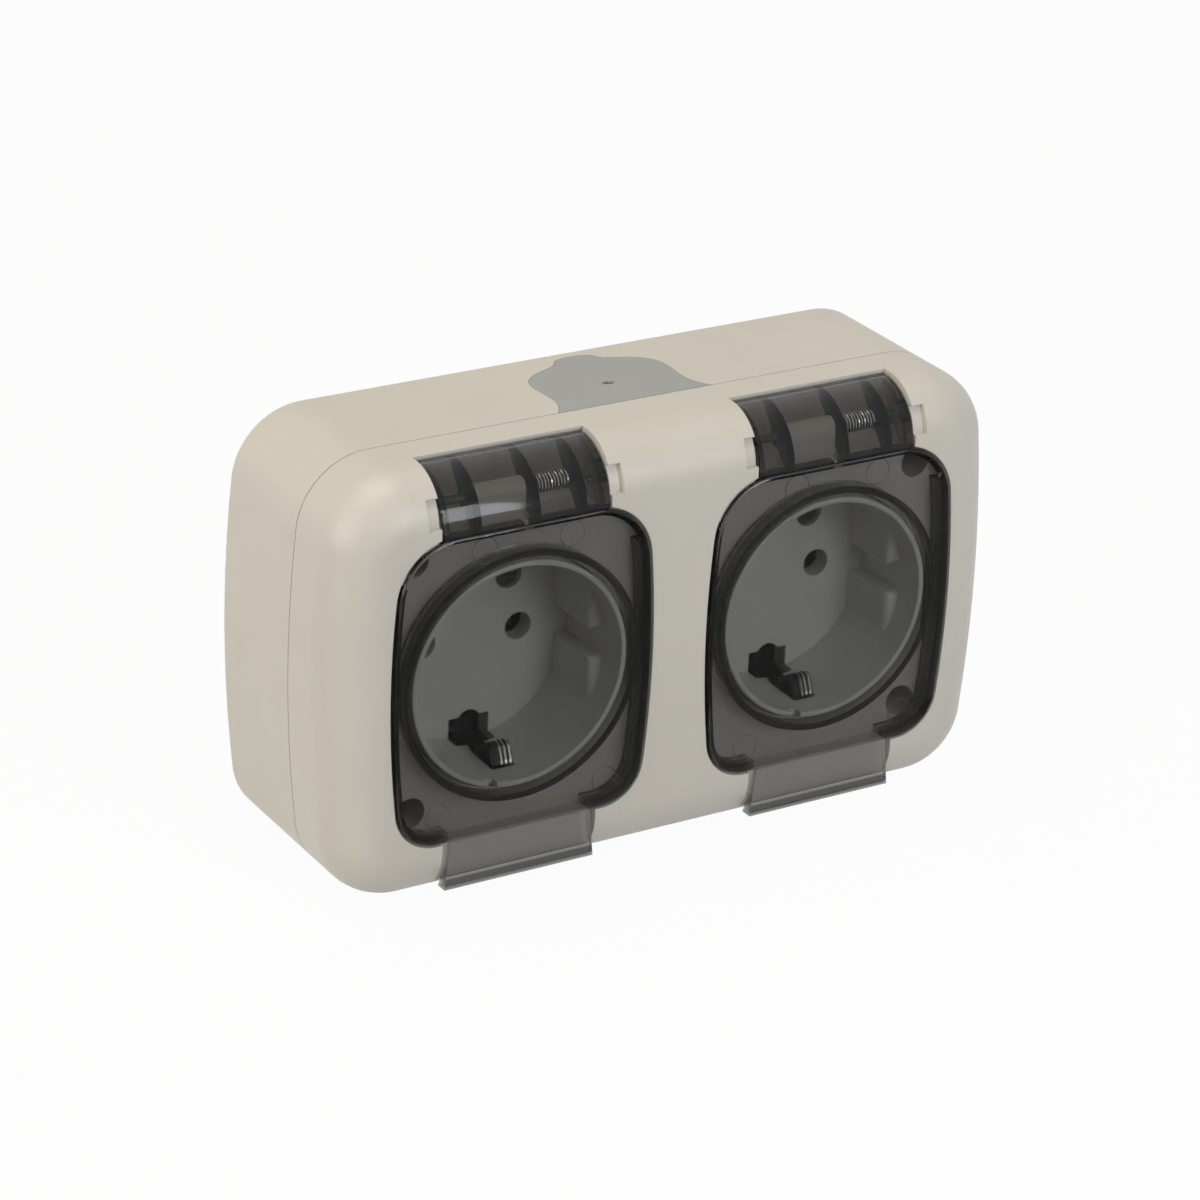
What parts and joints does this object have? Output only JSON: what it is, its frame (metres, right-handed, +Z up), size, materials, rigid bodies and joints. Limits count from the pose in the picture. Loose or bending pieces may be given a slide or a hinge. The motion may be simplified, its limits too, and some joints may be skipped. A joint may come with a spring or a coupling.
{
  "type": "outdoor weatherproof socket",
  "caption": "Surface-mounted weatherproof power socket with round earthed plug recesses, sprung smoked lids on top hinges, and a membrane cable entry in its top wall.",
  "frame": {"origin": "centre of the housing's back face, on the wall", "axes": "+X to the right along the housing, +Y into the wall, +Z up the wall; the front faces -Y"},
  "size_m": [0.1344, 0.0433, 0.0788],
  "materials": {
    "housing": "satin",
    "membrane": "matte",
    "seal": "matte",
    "insert": "satin",
    "contact_base": "matte",
    "smoked": "clear smoked",
    "nickel": "nickel plated",
    "brass": "stamped",
    "screw_steel": "zinc plated",
    "spring_steel": "drawn wire"
  },
  "bodies": {
    "housing": {"back_box": "housing", "cable_membrane": "membrane", "front_cover": "housing", "cover_gasket": "seal", "cover_screws": "screw_steel", "insert_screws": "screw_steel", "contact_base": "contact_base", "base_screws": "screw_steel", "line_bus": "brass", "neutral_bus": "brass", "earth_link": "nickel", "terminal_screws": "screw_steel", "left_socket_insert": "insert", "left_insert_seal": "seal", "left_earth_strap": "nickel", "left_hinge_pin": "spring_steel", "left_lid_spring": "spring_steel", "right_socket_insert": "insert", "right_insert_seal": "seal", "right_earth_strap": "nickel", "right_hinge_pin": "spring_steel", "right_lid_spring": "spring_steel"},
    "left_lid": {"left_lid": "smoked"},
    "right_lid": {"right_lid": "smoked"}
  },
  "joints": [
    {"name": "left_lid_hinge", "type": "hinge", "parent": "housing", "child": "left_lid", "pos_m": [-0.03107, -0.0375, 0.0329], "axis": [-1, 0, 0], "range_deg": [0, 95], "stiffness_Nm_per_rad": 0.01, "springref_deg": -28.65},
    {"name": "right_lid_hinge", "type": "hinge", "parent": "housing", "child": "right_lid", "pos_m": [0.03107, -0.0375, 0.0329], "axis": [-1, 0, 0], "range_deg": [0, 95], "stiffness_Nm_per_rad": 0.01, "springref_deg": -28.65}
  ]
}
